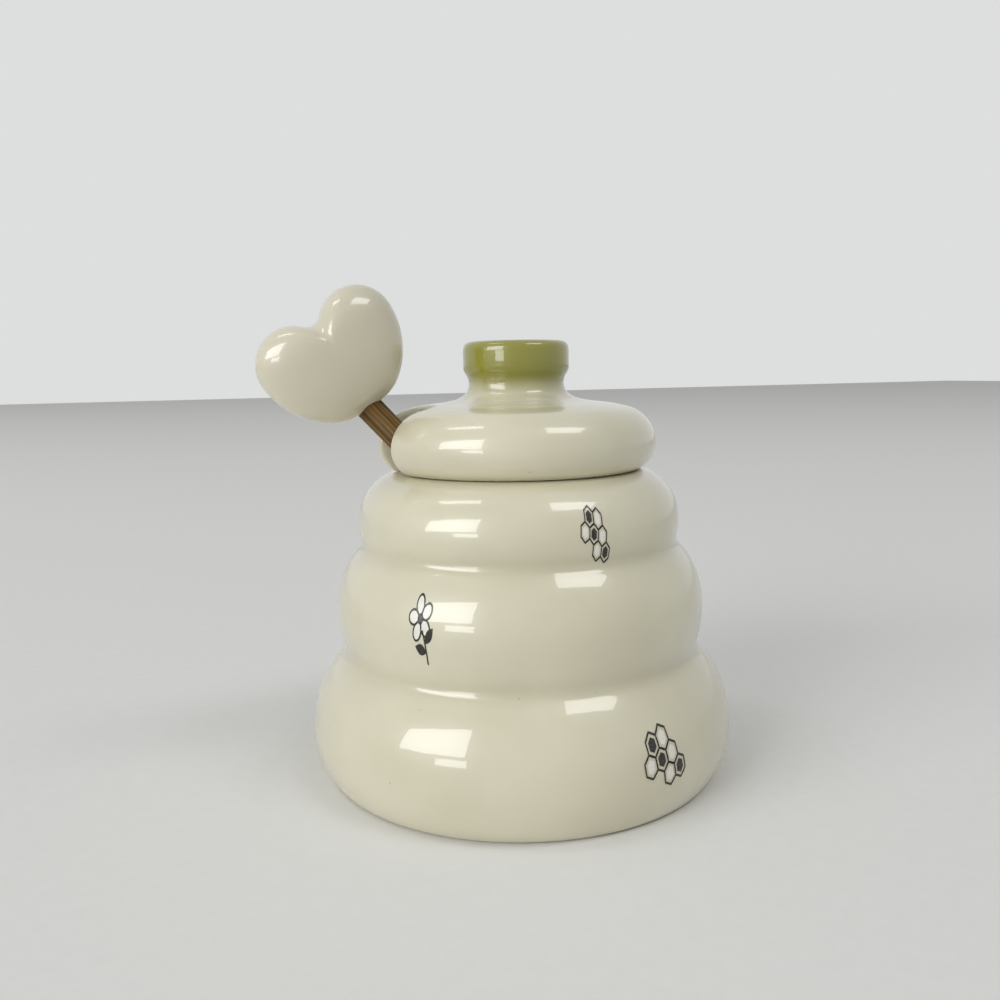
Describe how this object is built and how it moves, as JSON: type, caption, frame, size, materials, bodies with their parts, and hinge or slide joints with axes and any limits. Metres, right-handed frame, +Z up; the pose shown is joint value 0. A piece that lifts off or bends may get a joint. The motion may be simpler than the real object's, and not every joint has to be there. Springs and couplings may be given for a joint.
{
  "type": "honey pot",
  "caption": "Beehive-shaped glazed pottery honey pot with a loose notched lid and a wooden dipper that ends in a pottery heart.",
  "frame": {"origin": "middle of the pot's foot ring, on the plane it stands on", "axes": "+Z up through the pot's axis; the lid's notch and the leaning dipper lie towards -X"},
  "size_m": [0.0899, 0.082, 0.0932],
  "materials": {
    "pot_glaze": "glossy ivory glaze",
    "lid_glaze": "glossy ivory glaze with an olive knob",
    "dipper_wood": "turned wood, unvarnished",
    "heart_glaze": "glossy ivory glaze"
  },
  "bodies": {
    "pot": {"pot": "pot_glaze"},
    "lid": {"lid": "lid_glaze"},
    "dipper": {"dipper": "dipper_wood", "heart_handle": "heart_glaze"}
  },
  "joints": [
    {"name": "lid_lift", "type": "slide", "parent": "pot", "child": "lid", "axis": [0.225, 0, 0.9744], "range_m": [0, 0.06]},
    {"name": "dipper_slide", "type": "slide", "parent": "pot", "child": "dipper", "axis": [-0.6782, 0, 0.7349], "range_m": [0, 0.04]}
  ]
}
